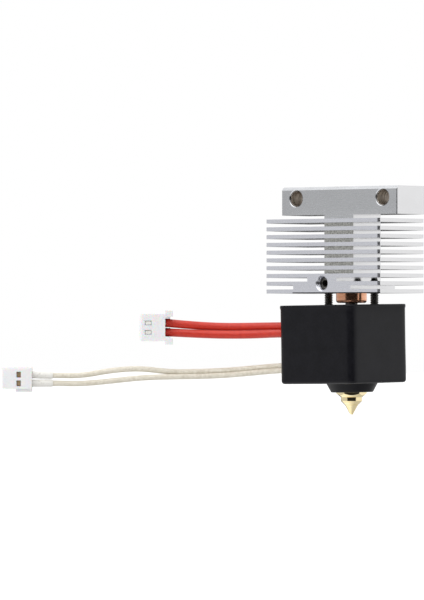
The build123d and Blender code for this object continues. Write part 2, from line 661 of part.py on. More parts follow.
def cut_channels(body, pitch, cavity, pin_hole, window, window_at):
    """Two contact channels, with pin holes at the mating end and a window for each contact's latch."""
    length, thickness, _ = body
    window_length, window_height = window
    for z in (pitch / 2, -pitch / 2):
        with Locations((0, 0, z)):
            Box(length - HOUSING_FRONT_WALL, cavity, cavity, align=ALONG, mode=Mode.SUBTRACT)
            Box(length + MOUTH, pin_hole, pin_hole, align=ALONG, mode=Mode.SUBTRACT)
        with Locations((window_at, thickness / 2, z)):
            Box(window_length, thickness - cavity, window_height, mode=Mode.SUBTRACT)


heater_plane = connector_plane(HEATER_UPPER_ROUTE, HEATER_INSET, HEATER_CENTRE_Z)

with BuildPart(heater_plane) as heater_connector_housing:
    length, thickness, height = HEATER_BODY
    Box(length, thickness, height, align=ALONG)
    front_edges = heater_connector_housing.faces().sort_by(Axis((0, 0, 0), CONNECTOR_OUT))[-1].edges()
    chamfer(front_edges, 0.5)
    ear_length, ear_thickness, ear_height = HEATER_EAR
    ear_offset = height / 2 + ear_height / 2 - 0.6
    with Locations((-HEATER_EAR_BACK, 0, ear_offset), (-HEATER_EAR_BACK, 0, -ear_offset)):
        Box(ear_length, ear_thickness, ear_height, align=ALONG)
    with Locations((0, -thickness / 2, HEATER_RIB_Z), (0, -thickness / 2, -HEATER_RIB_Z)):
        Box(length - 1.2, 0.8, 0.7, align=ALONG)
    cut_channels(HEATER_BODY, HEATER_PITCH, HEATER_CAVITY, 1.0, HEATER_WINDOW, HEATER_WINDOW_AT)
    # The channels' rear ends are open on the window side, so the leads' ends show
    with Locations((0, thickness / 2, HEATER_PITCH / 2), (0, thickness / 2, -HEATER_PITCH / 2)):
        Box(HEATER_INSET + 0.1, thickness, HEATER_CAVITY, align=ALONG, mode=Mode.SUBTRACT)

sensor_plane = connector_plane(SENSOR_UPPER_ROUTE, SENSOR_INSET, SENSOR_CENTRE_Z)

with BuildPart(sensor_plane) as thermistor_connector_housing:
    length, thickness, height = SENSOR_BODY
    foot_length, foot_thickness, foot_height = SENSOR_FOOT
    Box(length, thickness, height, align=ALONG)
    with Locations((0, 0, height / 2)):
        Box(length, foot_thickness, SENSOR_RAIL, align=ALONG)
    front_edges = thermistor_connector_housing.faces().sort_by(Axis((0, 0, 0), CONNECTOR_OUT))[-1].edges()
    chamfer(front_edges, 0.3)
    with Locations((0, 0, -height / 2 - foot_height / 2 + 0.3)):
        Box(foot_length, foot_thickness, foot_height, align=ALONG)
    cut_channels(SENSOR_BODY, SENSOR_PITCH, SENSOR_CAVITY, 0.8, SENSOR_WINDOW, SENSOR_WINDOW_AT)


def contact(plane, route, barrel_radius, box_width, box_start, box_end, pin_radius, latch, latch_at):
    """Crimped contact: a barrel that meets the lead's end, a square receptacle, and a latch in its window."""
    start = lead_end(plane, route)
    pin_depth = 2.6
    latch_length, latch_height, latch_reach = latch
    lengthwise = (Align.CENTER, Align.CENTER, Align.MIN)
    with BuildPart(plane) as piece:
        with Locations((start.X, start.Y, start.Z)):
            Cylinder(barrel_radius, box_start - start.X, rotation=(0, 90, 0), align=lengthwise)
        with Locations((box_start, start.Y, start.Z)):
            Box(box_end - box_start, box_width, box_width, align=ALONG)
        with Locations((latch_at, start.Y + latch_reach / 2, start.Z)):
            Box(latch_length, latch_reach, latch_height)
        with Locations((box_end - pin_depth, start.Y, start.Z)):
            Cylinder(pin_radius, pin_depth, rotation=(0, 90, 0), align=lengthwise, mode=Mode.SUBTRACT)
    return piece.part


def heater_contact(route):
    """Contact of the heater connector."""
    latch = (HEATER_WINDOW[0] - 0.2, HEATER_WINDOW[1] - 0.2, HEATER_BODY[1] / 2 - 0.15)
    return contact(heater_plane, route, 0.75, 1.8, 2.6, 6.1, 0.4, latch, HEATER_WINDOW_AT)


def sensor_contact(route):
    """Contact of the thermistor connector."""
    latch = (SENSOR_WINDOW[0] - 0.2, SENSOR_WINDOW[1] - 0.3, SENSOR_BODY[1] / 2 - 0.8)
    return contact(sensor_plane, route, 0.55, 1.35, 2.2, 6.0, 0.3, latch, SENSOR_WINDOW_AT)


with BuildPart() as heater_contact_upper:
    add(heater_contact(HEATER_UPPER_ROUTE))

with BuildPart() as heater_contact_lower:
    add(heater_contact(HEATER_LOWER_ROUTE))

with BuildPart() as thermistor_contact_upper:
    add(sensor_contact(SENSOR_UPPER_ROUTE))

with BuildPart() as thermistor_contact_lower:
    add(sensor_contact(SENSOR_LOWER_ROUTE))


def shrink_sleeve(route):
    """Short tube round a lead's last straight run."""
    *_, before, last = [Vector(x, y + AXIS_Y, z) for x, y, z in route]
    along = (before - last).normalized()
    face = last + along * SENSOR_INSET
    outline = [
        (SHRINK_BORE, 0.05),
        (SHRINK_RADIUS, 0.05),
        (SHRINK_RADIUS, SHRINK_LENGTH - 0.5),
        (SHRINK_RADIUS - 0.12, SHRINK_LENGTH),
        (SHRINK_BORE, SHRINK_LENGTH),
    ]
    return turned(outline, face, along, along.cross(UP))


with BuildPart() as thermistor_sleeve_upper:
    add(shrink_sleeve(SENSOR_UPPER_ROUTE))

with BuildPart() as thermistor_sleeve_lower:
    add(shrink_sleeve(SENSOR_LOWER_ROUTE))

# ---------------------------------------------------------------- files, one for each piece
heatsink.part.label = "heatsink"
export_step(heatsink.part, "parts/heatsink.step")

ptfe_guide_tube.part.label = "ptfe_guide_tube"
export_step(ptfe_guide_tube.part, "parts/ptfe_guide_tube.step")

heat_break_sleeve.part.label = "heat_break_sleeve"
export_step(heat_break_sleeve.part, "parts/heat_break_sleeve.step")

heat_break_throat.part.label = "heat_break_throat"
export_step(heat_break_throat.part, "parts/heat_break_throat.step")

heat_break_set_screw.part.label = "heat_break_set_screw"
export_step(heat_break_set_screw.part, "parts/heat_break_set_screw.step")

support_screw_left.part.label = "support_screw_left"
export_step(support_screw_left.part, "parts/support_screw_left.step")

support_screw_right.part.label = "support_screw_right"
export_step(support_screw_right.part, "parts/support_screw_right.step")

heater_block.part.label = "heater_block"
export_step(heater_block.part, "parts/heater_block.step")

heater_clamp_screw.part.label = "heater_clamp_screw"
export_step(heater_clamp_screw.part, "parts/heater_clamp_screw.step")

thermistor_clamp_screw.part.label = "thermistor_clamp_screw"
export_step(thermistor_clamp_screw.part, "parts/thermistor_clamp_screw.step")

heater_sheath.part.label = "heater_sheath"
export_step(heater_sheath.part, "parts/heater_sheath.step")

heater_end_seal.part.label = "heater_end_seal"
export_step(heater_end_seal.part, "parts/heater_end_seal.step")

heater_core.part.label = "heater_core"
export_step(heater_core.part, "parts/heater_core.step")

thermistor_shell.part.label = "thermistor_shell"
export_step(thermistor_shell.part, "parts/thermistor_shell.step")

thermistor_end_seal.part.label = "thermistor_end_seal"
export_step(thermistor_end_seal.part, "parts/thermistor_end_seal.step")

thermistor_bead.part.label = "thermistor_bead"
export_step(thermistor_bead.part, "parts/thermistor_bead.step")

nozzle.part.label = "nozzle"
export_step(nozzle.part, "parts/nozzle.step")

silicone_sock.part.label = "silicone_sock"
export_step(silicone_sock.part, "parts/silicone_sock.step")

heater_lead_upper.part.label = "heater_lead_upper"
export_step(heater_lead_upper.part, "parts/heater_lead_upper.step")

heater_lead_lower.part.label = "heater_lead_lower"
export_step(heater_lead_lower.part, "parts/heater_lead_lower.step")

heater_connector_housing.part.label = "heater_connector_housing"
export_step(heater_connector_housing.part, "parts/heater_connector_housing.step")

heater_contact_upper.part.label = "heater_contact_upper"
export_step(heater_contact_upper.part, "parts/heater_contact_upper.step")

heater_contact_lower.part.label = "heater_contact_lower"
export_step(heater_contact_lower.part, "parts/heater_contact_lower.step")

thermistor_lead_upper.part.label = "thermistor_lead_upper"
export_step(thermistor_lead_upper.part, "parts/thermistor_lead_upper.step")

thermistor_lead_lower.part.label = "thermistor_lead_lower"
export_step(thermistor_lead_lower.part, "parts/thermistor_lead_lower.step")

thermistor_sleeve_upper.part.label = "thermistor_sleeve_upper"
export_step(thermistor_sleeve_upper.part, "parts/thermistor_sleeve_upper.step")

thermistor_sleeve_lower.part.label = "thermistor_sleeve_lower"
export_step(thermistor_sleeve_lower.part, "parts/thermistor_sleeve_lower.step")

thermistor_connector_housing.part.label = "thermistor_connector_housing"
export_step(thermistor_connector_housing.part, "parts/thermistor_connector_housing.step")

thermistor_contact_upper.part.label = "thermistor_contact_upper"
export_step(thermistor_contact_upper.part, "parts/thermistor_contact_upper.step")

thermistor_contact_lower.part.label = "thermistor_contact_lower"
export_step(thermistor_contact_lower.part, "parts/thermistor_contact_lower.step")
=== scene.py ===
"""Looks of a hotend assembly: a finish for every CAD piece, a moulded silicone sock and four braided leads.

Lengths are in metres in the CAD frame: +X right, +Y rearwards through the mounting face, +Z up.
"""
import json
from math import cos, pi, radians, sin

import bmesh
import bpy
import numpy as np
from mathutils import Matrix, Vector, noise


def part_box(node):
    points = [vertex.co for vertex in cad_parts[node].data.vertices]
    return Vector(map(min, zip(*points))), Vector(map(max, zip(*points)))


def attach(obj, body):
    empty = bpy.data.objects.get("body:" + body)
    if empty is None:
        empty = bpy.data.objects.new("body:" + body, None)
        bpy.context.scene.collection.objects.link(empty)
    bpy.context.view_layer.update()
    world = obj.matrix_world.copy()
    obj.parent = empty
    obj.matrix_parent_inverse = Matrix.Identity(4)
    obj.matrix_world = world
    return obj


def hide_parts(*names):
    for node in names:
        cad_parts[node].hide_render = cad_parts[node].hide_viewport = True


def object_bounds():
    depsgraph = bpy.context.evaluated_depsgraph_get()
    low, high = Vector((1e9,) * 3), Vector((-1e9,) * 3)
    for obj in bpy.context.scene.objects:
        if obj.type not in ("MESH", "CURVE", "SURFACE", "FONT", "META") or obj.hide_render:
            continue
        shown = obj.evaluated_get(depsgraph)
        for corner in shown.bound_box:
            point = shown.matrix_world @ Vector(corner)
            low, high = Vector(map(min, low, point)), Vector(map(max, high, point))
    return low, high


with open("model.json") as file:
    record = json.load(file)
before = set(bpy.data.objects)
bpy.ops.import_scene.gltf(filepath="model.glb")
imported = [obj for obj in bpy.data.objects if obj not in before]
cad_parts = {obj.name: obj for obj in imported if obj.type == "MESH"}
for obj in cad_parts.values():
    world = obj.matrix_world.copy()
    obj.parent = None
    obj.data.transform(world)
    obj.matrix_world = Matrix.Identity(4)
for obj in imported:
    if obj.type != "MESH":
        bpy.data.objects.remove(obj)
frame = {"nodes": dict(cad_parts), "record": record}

MM = 0.001
UP = Vector((0, 0, 1))
cad_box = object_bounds()

# ---------------------------------------------------------------- camera
AXIS_Y = -5.4 * MM                  # nozzle axis, in front of the mounting face
VIEW_AZIMUTH = radians(40)
VIEW_DISTANCE = 1158 * MM           # from the nozzle axis
VIEW_LEFT = 31.7 * MM               # the leads run left, so the picture's centre is left of the nozzle
VIEW_HEIGHT = -27.67 * MM
VIEW_PITCH = radians(0.225)
LENS = 305.7                        # millimetres on the 36 mm sensor

TOWARDS_CAMERA = Vector((sin(VIEW_AZIMUTH), -cos(VIEW_AZIMUTH), 0))
CAMERA_RIGHT = Vector((cos(VIEW_AZIMUTH), sin(VIEW_AZIMUTH), 0))


def add_object(name, data):
    """New object in the scene."""
    made = bpy.data.objects.new(name, data)
    bpy.context.scene.collection.objects.link(made)
    return made


camera = add_object("camera", bpy.data.cameras.new("camera"))
camera.data.lens = LENS
camera.location = Vector((0, AXIS_Y, VIEW_HEIGHT)) + TOWARDS_CAMERA * VIEW_DISTANCE - CAMERA_RIGHT * VIEW_LEFT
camera.rotation_euler = (pi / 2 + VIEW_PITCH, 0, VIEW_AZIMUTH)
bpy.context.scene.camera = camera
bpy.context.scene.view_settings.view_transform = "Standard"


# ---------------------------------------------------------------- shader helpers
def add_node(tree, kind, inputs=(), **settings):
    """New shader node. inputs maps a socket's name or number to a value or to another node's output."""
    made = tree.nodes.new(kind)
    for name, value in settings.items():
        setattr(made, name, value)
    for name, value in dict(inputs).items():
        if isinstance(value, bpy.types.NodeSocket):
            tree.links.new(value, made.inputs[name])
        else:
            made.inputs[name].default_value = value
    return made


def start_material(name, gloss):
    """New material, its tree and its shader, with the shader's constant sockets set from gloss."""
    material = bpy.data.materials.new(name)
    material.use_nodes = True
    tree = material.node_tree
    shader = tree.nodes["Principled BSDF"]
    for socket, value in gloss.items():
        shader.inputs[socket].default_value = value
    return material, tree, shader


def millimetres(tree, stretch=(1, 1, 1)):
    """Position in the row frame in millimetres, multiplied by stretch."""
    place = add_node(tree, "ShaderNodeTexCoord").outputs["Object"]
    scale = [factor / MM for factor in stretch]
    return add_node(tree, "ShaderNodeMapping", {"Vector": place, "Scale": scale}).outputs["Vector"]


def grain(tree, place, size, detail=3.0, roughness=0.6):
    """Noise with features about size across, in the units of place."""
    inputs = {"Vector": place, "Scale": 1 / size, "Detail": detail, "Roughness": roughness}
    return add_node(tree, "ShaderNodeTexNoise", inputs).outputs["Fac"]


def spread_out(tree, value, low, high, to_low=0.0, to_high=1.0):
    """Maps low..high to to_low..to_high and clamps."""
    inputs = {"Value": value, "From Min": low, "From Max": high, "To Min": to_low, "To Max": to_high}
    return add_node(tree, "ShaderNodeMapRange", inputs).outputs["Result"]


def arithmetic(tree, operation, first, second):
    """One sum on two numbers or outputs."""
    return add_node(tree, "ShaderNodeMath", {0: first, 1: second}, operation=operation).outputs[0]


def product(tree, *factors):
    """Several numbers or outputs multiplied together."""
    result = factors[0]
    for factor in factors[1:]:
        result = arithmetic(tree, "MULTIPLY", result, factor)
    return result


def blend_numbers(tree, share, first, second):
    """First number where share is 0, second where it is 1."""
    return add_node(tree, "ShaderNodeMix", {0: share, 2: first, 3: second}).outputs[0]


def mix_colours(tree, share, first, second):
    """First colour where share is 0, second where it is 1."""
    made = add_node(tree, "ShaderNodeMix", data_type="RGBA")
    for socket, value in ((made.inputs[0], share), (made.inputs[6], first), (made.inputs[7], second)):
        if isinstance(value, bpy.types.NodeSocket):
            tree.links.new(value, socket)
        else:
            socket.default_value = value if socket.type == "VALUE" else (*value, 1)
    return made.outputs[2]


def raise_surface(tree, shader, height, depth):
    """Bump of the given depth, in metres."""
    bump = add_node(tree, "ShaderNodeBump", {"Height": height, "Strength": 1.0, "Distance": depth})
    tree.links.new(bump.outputs["Normal"], shader.inputs["Normal"])


def plain_surface(name, dark, light, size, rough, depth, stretch=(1, 1, 1), patch=5.0, gloss=()):
    """Finish with fine grain and broad patches between two colours, uneven gloss and raised grain.

    size and patch are in millimetres, depth in metres, rough is the range of roughness.
    """
    material, tree, shader = start_material(name, dict(gloss))
    fine = grain(tree, millimetres(tree, stretch), size)
    broad = grain(tree, millimetres(tree), patch, 2.0)
    both = arithmetic(tree, "ADD", product(tree, fine, 0.6), product(tree, broad, 0.4))
    share = spread_out(tree, both, 0.36, 0.64)
    tree.links.new(mix_colours(tree, share, dark, light), shader.inputs["Base Color"])
    tree.links.new(spread_out(tree, fine, 0.3, 0.7, *rough), shader.inputs["Roughness"])
    raise_surface(tree, shader, fine, depth)
    return material


# ---------------------------------------------------------------- finishes
FIN_TOP = -4.8 * MM                 # top of the uppermost fin; the column above it carries on the bar's face
FOOT_BOTTOM = -21.63 * MM
FOOT_LEFT = -8.5 * MM
EDGE_LINE = 0.22 * MM               # painted shade line along the lower edge of the foot's front
POCKET_FRONT = -10 * MM             # front of the column between the fins
HOLE_OFFSET = 12.5 * MM             # mounting holes, left and right of the middle
HOLE_RADIUS = 1.7 * MM
RIM_WIDTH = 0.17 * MM               # inner half of the mounting holes' chamfers, painted dark as shade
NEAR = 0.03 * MM                    # how far past a wall a tone still counts as being on it
BAR_TONE = (0.58, 0.59, 0.61)
FIN_TONE = (0.81, 0.82, 0.88)
SIDE_TONE = (0.76, 0.76, 0.77)
POCKET_TONE = (0.92, 0.92, 0.88)
# Painted shade: the dark end of the mottled tone on the column between the fins
POCKET_SHADE = (0.42, 0.42, 0.39)
BORE_TONE = (0.88, 0.82, 0.75)
# Painted shade: dark streaks inside the mounting holes
BORE_SHADE = (0.30, 0.26, 0.22)
# Painted shade on the inner half of the mounting holes' chamfers
RIM_SHADE = (0.07, 0.065, 0.06)
# Painted shade: the dark line along the foot's lower front edge
EDGE_SHADE = (0.04, 0.04, 0.045)
FRONT_ROUGH = (0.22, 0.34)
SIDE_ROUGH = (0.10, 0.18)
TOP_ROUGH = (0.26, 0.38)
POCKET_ROUGH = 0.32
BORE_ROUGH = 0.45
STREAKS = (0.975, 1.025)            # range of brightness along the cutter lines
FRONT_CUTS = 0.45                   # depth of the cutter lines on the front, against 1 elsewhere
CUT_DEPTH = 0.0018 * MM


def inside_mounting_holes(tree, at, radius):
    """1 nearer than radius to the axis of a mounting hole."""
    across = arithmetic(tree, "SUBTRACT", arithmetic(tree, "ABSOLUTE", at.outputs["X"], 0), HOLE_OFFSET)
    offset = add_node(tree, "ShaderNodeCombineXYZ", {0: across, 2: at.outputs["Z"]}).outputs[0]
    distance = add_node(tree, "ShaderNodeVectorMath", {0: offset}, operation="LENGTH").outputs["Value"]
    return arithmetic(tree, "LESS_THAN", distance, radius)


def machined_aluminium():
    """Milled aluminium: cutter lines along the faces, a tone for each kind of face, a grainy column with
    painted shade in patches between the fins, and painted shade at the holes' rims, in the bores and along
    the foot's lower edge.
    """
    material, tree, shader = start_material("machined_aluminium", {"Metallic": 1.0})
    upright_lines = grain(tree, millimetres(tree, (0.06, 0.06, 1)), 0.16, 4.0)
    level_lines = grain(tree, millimetres(tree, (0.06, 1, 0.06)), 0.2, 4.0)
    fine = grain(tree, millimetres(tree), 0.28, 4.0, 0.7)
    broad = grain(tree, millimetres(tree, (0.5, 0.5, 1)), 5.0, 2.0)
    normal = add_node(tree, "ShaderNodeNewGeometry").outputs["Normal"]
    facing = add_node(tree, "ShaderNodeSeparateXYZ", {0: normal})
    place = add_node(tree, "ShaderNodeTexCoord").outputs["Object"]
    at = add_node(tree, "ShaderNodeSeparateXYZ", {0: place})
    # Where the faces lie
    level = arithmetic(tree, "GREATER_THAN", arithmetic(tree, "ABSOLUTE", facing.outputs["Z"], 0), 0.5)
    forward = arithmetic(tree, "LESS_THAN", facing.outputs["Y"], -0.5)
    deep = arithmetic(tree, "GREATER_THAN", at.outputs["Y"], POCKET_FRONT - 0.3 * MM)
    above_fins = arithmetic(tree, "GREATER_THAN", at.outputs["Z"], FIN_TOP + 0.02 * MM)
    pocket = product(tree, forward, deep, arithmetic(tree, "SUBTRACT", 1.0, above_fins))
    on_bar = product(tree, forward, above_fins)
    low_edge = arithmetic(tree, "LESS_THAN", at.outputs["Z"], FOOT_BOTTOM + EDGE_LINE)
    foot_edge_shade = product(tree, forward, low_edge, arithmetic(tree, "GREATER_THAN", at.outputs["X"], FOOT_LEFT))
    bore = inside_mounting_holes(tree, at, HOLE_RADIUS + NEAR)
    rim = inside_mounting_holes(tree, at, HOLE_RADIUS + RIM_WIDTH)
    lines = blend_numbers(tree, level, upright_lines, level_lines)
    # Tones
    tone = mix_colours(tree, forward, SIDE_TONE, FIN_TONE)
    tone = mix_colours(tree, on_bar, tone, BAR_TONE)
    # Painted shade mixed with grain: the column's front between the fins gets dark patches and is darker than
    # the fins on the whole
    pocket_shade_and_grain = mix_colours(tree, spread_out(tree, fine, 0.38, 0.62), POCKET_SHADE, POCKET_TONE)
    tone = mix_colours(tree, pocket, tone, pocket_shade_and_grain)
    # Painted shade: dark streaks mixed into the bores of the mounting holes
    bore_shaded_tone = mix_colours(tree, spread_out(tree, level_lines, 0.4, 0.6), BORE_SHADE, BORE_TONE)
    # Painted shade: the inner half of each hole's chamfer is near black
    tone = mix_colours(tree, rim, tone, RIM_SHADE)
    tone = mix_colours(tree, bore, tone, bore_shaded_tone)
    # Painted shade: a thin dark line along the foot's lower front edge
    tone = mix_colours(tree, foot_edge_shade, tone, EDGE_SHADE)
    shade = arithmetic(tree, "ADD", product(tree, lines, 0.5), product(tree, broad, 0.5))
    streak = spread_out(tree, shade, 0.35, 0.65, *STREAKS)
    streaked = add_node(tree, "ShaderNodeHueSaturation", {"Color": tone, "Value": streak})
    tree.links.new(streaked.outputs["Color"], shader.inputs["Base Color"])
    # Gloss and grain
    front_rough = spread_out(tree, lines, 0.3, 0.7, *FRONT_ROUGH)
    side_rough = spread_out(tree, lines, 0.3, 0.7, *SIDE_ROUGH)
    top_rough = spread_out(tree, lines, 0.3, 0.7, *TOP_ROUGH)
    upward = arithmetic(tree, "GREATER_THAN", facing.outputs["Z"], 0.8)
    rough = blend_numbers(tree, forward, side_rough, front_rough)
    rough = blend_numbers(tree, upward, rough, top_rough)
    rough = blend_numbers(tree, pocket, rough, POCKET_ROUGH)
    rough = blend_numbers(tree, bore, rough, BORE_ROUGH)
    tree.links.new(rough, shader.inputs["Roughness"])
    pits = product(tree, fine, arithmetic(tree, "ADD", product(tree, pocket, 3.0), 0.3))
    cuts = product(tree, lines, blend_numbers(tree, forward, 1.0, FRONT_CUTS))
    raise_surface(tree, shader, arithmetic(tree, "ADD", cuts, pits), CUT_DEPTH)
    return material


def braid(name, groove_shade, thread, bright, rough, gloss):
    """Braided sleeving: painted shade in the grooves between the threads, threads of uneven tone."""
    material, tree, shader = start_material(name, gloss)
    height = add_node(tree, "ShaderNodeAttribute", attribute_name="relief").outputs["Fac"]
    tone = spread_out(tree, grain(tree, millimetres(tree), 0.5, 4.0), 0.35, 0.65)
    fuzz = grain(tree, millimetres(tree), 0.06, 2.0)
    crown = mix_colours(tree, tone, thread, bright)
    share = spread_out(tree, height, 0.05, 0.55)
    # Painted shade: the grooves between the threads are darker than the crowns
    tree.links.new(mix_colours(tree, share, groove_shade, crown), shader.inputs["Base Color"])
    tree.links.new(spread_out(tree, fuzz, 0.3, 0.7, *rough), shader.inputs["Roughness"])
    raise_surface(tree, shader, fuzz, 0.01 * MM)
    return material


METAL = {"Metallic": 1.0}
PLAIN_FINISHES = {
    "block_aluminium": {
        "dark": (0.42, 0.42, 0.43), "light": (0.55, 0.55, 0.57), "size": 0.3,
        "rough": (0.3, 0.45), "depth": 0.004 * MM, "stretch": (0.2, 0.2, 1), "gloss": METAL,
    },
    "ptfe": {
        "dark": (0.80, 0.80, 0.78), "light": (0.88, 0.88, 0.86), "size": 0.5,
        "rough": (0.35, 0.5), "depth": 0.004 * MM,
        "gloss": {"Subsurface Weight": 0.3, "Subsurface Scale": 0.5 * MM},
    },
    "copper": {
        "dark": (0.74, 0.34, 0.19), "light": (0.92, 0.50, 0.33), "size": 0.3,
        "rough": (0.20, 0.28), "depth": 0.001 * MM, "stretch": (0.1, 0.1, 1), "gloss": METAL,
    },
    "titanium": {
        "dark": (0.10, 0.095, 0.09), "light": (0.18, 0.17, 0.165), "size": 0.3,
        "rough": (0.3, 0.45), "depth": 0.003 * MM, "stretch": (0.3, 0.3, 1), "gloss": METAL,
    },
    "black_steel": {
        "dark": (0.11, 0.106, 0.10), "light": (0.20, 0.195, 0.185), "size": 0.2,
        "rough": (0.28, 0.42), "depth": 0.003 * MM,
        "gloss": {"Metallic": 0.9},
    },
    "stainless_steel": {
        "dark": (0.42, 0.41, 0.40), "light": (0.55, 0.54, 0.52), "size": 0.25,
        "rough": (0.22, 0.36), "depth": 0.003 * MM, "stretch": (1, 0.2, 0.2), "gloss": METAL,
    },
    "seal_ceramic": {
        "dark": (0.66, 0.64, 0.58), "light": (0.80, 0.78, 0.72), "size": 0.2,
        "rough": (0.6, 0.8), "depth": 0.01 * MM,
    },
    "bead_glass": {
        "dark": (0.10, 0.16, 0.12), "light": (0.16, 0.24, 0.18), "size": 0.4,
        "rough": (0.08, 0.16), "depth": 0.002 * MM,
        "gloss": {"Coat Weight": 0.5},
    },
    "nozzle_brass": {
        "dark": (0.93, 0.75, 0.38), "light": (0.99, 0.87, 0.58), "size": 0.22,
        "rough": (0.08, 0.16), "depth": 0.002 * MM, "stretch": (0.08, 0.08, 1), "gloss": METAL,
    },
    "black_silicone": {
        "dark": (0.003, 0.003, 0.005), "light": (0.007, 0.007, 0.010), "size": 0.35,
        "rough": (0.30, 0.42), "depth": 0.008 * MM, "patch": 3.0,
        "gloss": {"Specular IOR Level": 0.19},
    },
    "white_nylon": {
        "dark": (0.77, 0.77, 0.78), "light": (0.83, 0.83, 0.84), "size": 0.4,
        "rough": (0.32, 0.46), "depth": 0.003 * MM,
        "gloss": {"Subsurface Weight": 0.35, "Subsurface Scale": 0.8 * MM},
    },
    "clear_sleeve": {
        "dark": (0.82, 0.80, 0.75), "light": (0.88, 0.87, 0.83), "size": 0.8,
        "rough": (0.25, 0.4), "depth": 0.003 * MM,
        "gloss": {"Transmission Weight": 0.15, "IOR": 1.42},
    },
    "tinned_contact": {
        "dark": (0.82, 0.81, 0.76), "light": (0.91, 0.90, 0.86), "size": 0.2,
        "rough": (0.4, 0.55), "depth": 0.003 * MM,
        "gloss": {"Metallic": 0.25},
    },
    "gold_contact": {
        "dark": (0.50, 0.36, 0.20), "light": (0.68, 0.52, 0.32), "size": 0.2,
        "rough": (0.4, 0.55), "depth": 0.003 * MM,
        "gloss": {"Metallic": 0.6},
    },
}
BRAIDS = {
    "red_braid": {
        "groove_shade": (0.24, 0.004, 0.001), "thread": (0.54, 0.014, 0.002), "bright": (0.68, 0.032, 0.007),
        "rough": (0.35, 0.5),
        "gloss": {"Specular IOR Level": 0.4, "Coat Weight": 0.3, "Coat Roughness": 0.18},
    },
    "cream_braid": {
        "groove_shade": (0.24, 0.20, 0.14), "thread": (0.64, 0.59, 0.48), "bright": (0.86, 0.82, 0.72),
        "rough": (0.55, 0.75), "gloss": {"Sheen Weight": 0.1},
    },
}
materials = {"machined_aluminium": machined_aluminium()}
for name, finish in PLAIN_FINISHES.items():
    materials[name] = plain_surface(name, **finish)
for name, finish in BRAIDS.items():
    materials[name] = braid(name, **finish)


def dress(piece, slot_name):
    """Gives a piece its material slot's finish."""
    piece.data.materials.clear()
    piece.data.materials.append(materials[slot_name])


for subpart in frame["record"]["subparts"]:
    dress(frame["nodes"][subpart["node"]], subpart["material_slot"])

# ---------------------------------------------------------------- leads
# Routes are measured from the nozzle axis in X and Y, in millimetres.
HEATER_UPPER_ROUTE = [
    (-8.8, -6.5, -29.1),
    (-15.4, -6.5, -29.1),
    (-22.1, -7.8, -29.2),
    (-28.25, -10.85, -29.3),
    (-33.9, -15.3, -28.95),
    (-38.65, -19.75, -28.325),
]
HEATER_LOWER_ROUTE = [
    (-8.8, -7.65, -30.7),
    (-15.1, -7.65, -30.7),
    (-21.7, -9.1, -31.0),
    (-27.9, -12.1, -31.05),
    (-33.65, -16.0, -30.8),
    (-38.65, -19.75, -30.475),
]
SENSOR_UPPER_ROUTE = [
    (-8.8, -6.65, -37.9),
    (-14.85, -6.65, -38.05),
    (-21.15, -8.1, -38.6),
    (-27.1, -11.15, -39.2),
    (-32.35, -15.25, -39.5),
    (-37.45, -19.75, -39.6),
    (-42.6, -24.15, -38.7),
    (-47.7, -28.65, -39.2),
    (-52.7, -33.0, -40.45),
    (-57.5, -37.2, -40.32),
    (-62.05, -41.0, -40.15),
]
SENSOR_LOWER_ROUTE = [
    (-8.8, -7.35, -38.95),
    (-14.75, -7.35, -39.15),
    (-20.9, -8.75, -39.7),
    (-26.75, -11.75, -40.3),
    (-31.9, -15.75, -40.6),
    (-37.0, -20.25, -40.65),
    (-42.35, -24.45, -40.9),
    (-47.55, -28.8, -41.65),
    (-52.7, -33.0, -42.3),
    (-57.5, -37.2, -42.12),
    (-62.05, -41.0, -42.15),
]
HEATER_LEAD_RADIUS = 0.95 * MM
SENSOR_LEAD_RADIUS = 0.65 * MM
HEATER_CARRIERS = 12                # threads each way round a sleeve
SENSOR_CARRIERS = 9
HEATER_RELIEF = 0.06                # depth of the braid's grooves, as a share of the radius
SENSOR_RELIEF = 0.12
BRAID_STEP = 0.075 * MM             # spacing of the mesh along a lead
SAMPLES_PER_THREAD = 5
SPLINE_RESOLUTION = 48


def smooth_line(name, route):
    """Points read from the NURBS spline that has the route as its control points."""
    curve = bpy.data.curves.new(name + "_line", "CURVE")
    curve.dimensions = "3D"
    curve.resolution_u = SPLINE_RESOLUTION
    spline = curve.splines.new("NURBS")
    spline.points.add(len(route) - 1)
    for point, (x, y, z) in zip(spline.points, route):
        point.co = (x * MM, y * MM + AXIS_Y, z * MM, 1)
    spline.order_u = 3
    spline.use_endpoint_u = True
    holder = bpy.data.objects.new(name + "_line", curve)
    mesh = bpy.data.meshes.new_from_object(holder)
    line = np.array([vertex.co for vertex in mesh.vertices])
    bpy.data.objects.remove(holder)
    bpy.data.meshes.remove(mesh)
    return line


def even_steps(line, step):
    """The line again with points about step apart, and its length."""
    along = np.concatenate([[0], np.cumsum(np.linalg.norm(np.diff(line, axis=0), axis=1))])
    at = np.linspace(0, along[-1], int(along[-1] / step) + 1)
    return np.stack([np.interp(at, along, line[:, axis]) for axis in range(3)], axis=1), along[-1]


def braid_height(around, along, carriers):
    """Height from 0 to 1 of a one-over-one braid; around and along are in turns."""
    first = carriers * (around + along)
    second = carriers * (around - along)
    first_part, second_part = first % 1, second % 1
    first_on_top = (np.floor(first) + np.floor(second)) % 2 == 0
    across = np.where(first_on_top, second_part, first_part)
    lengthwise = np.where(first_on_top, first_part, second_part)
    return (1 - (2 * across - 1) ** 2) * (0.6 + 0.4 * np.sin(pi * lengthwise))


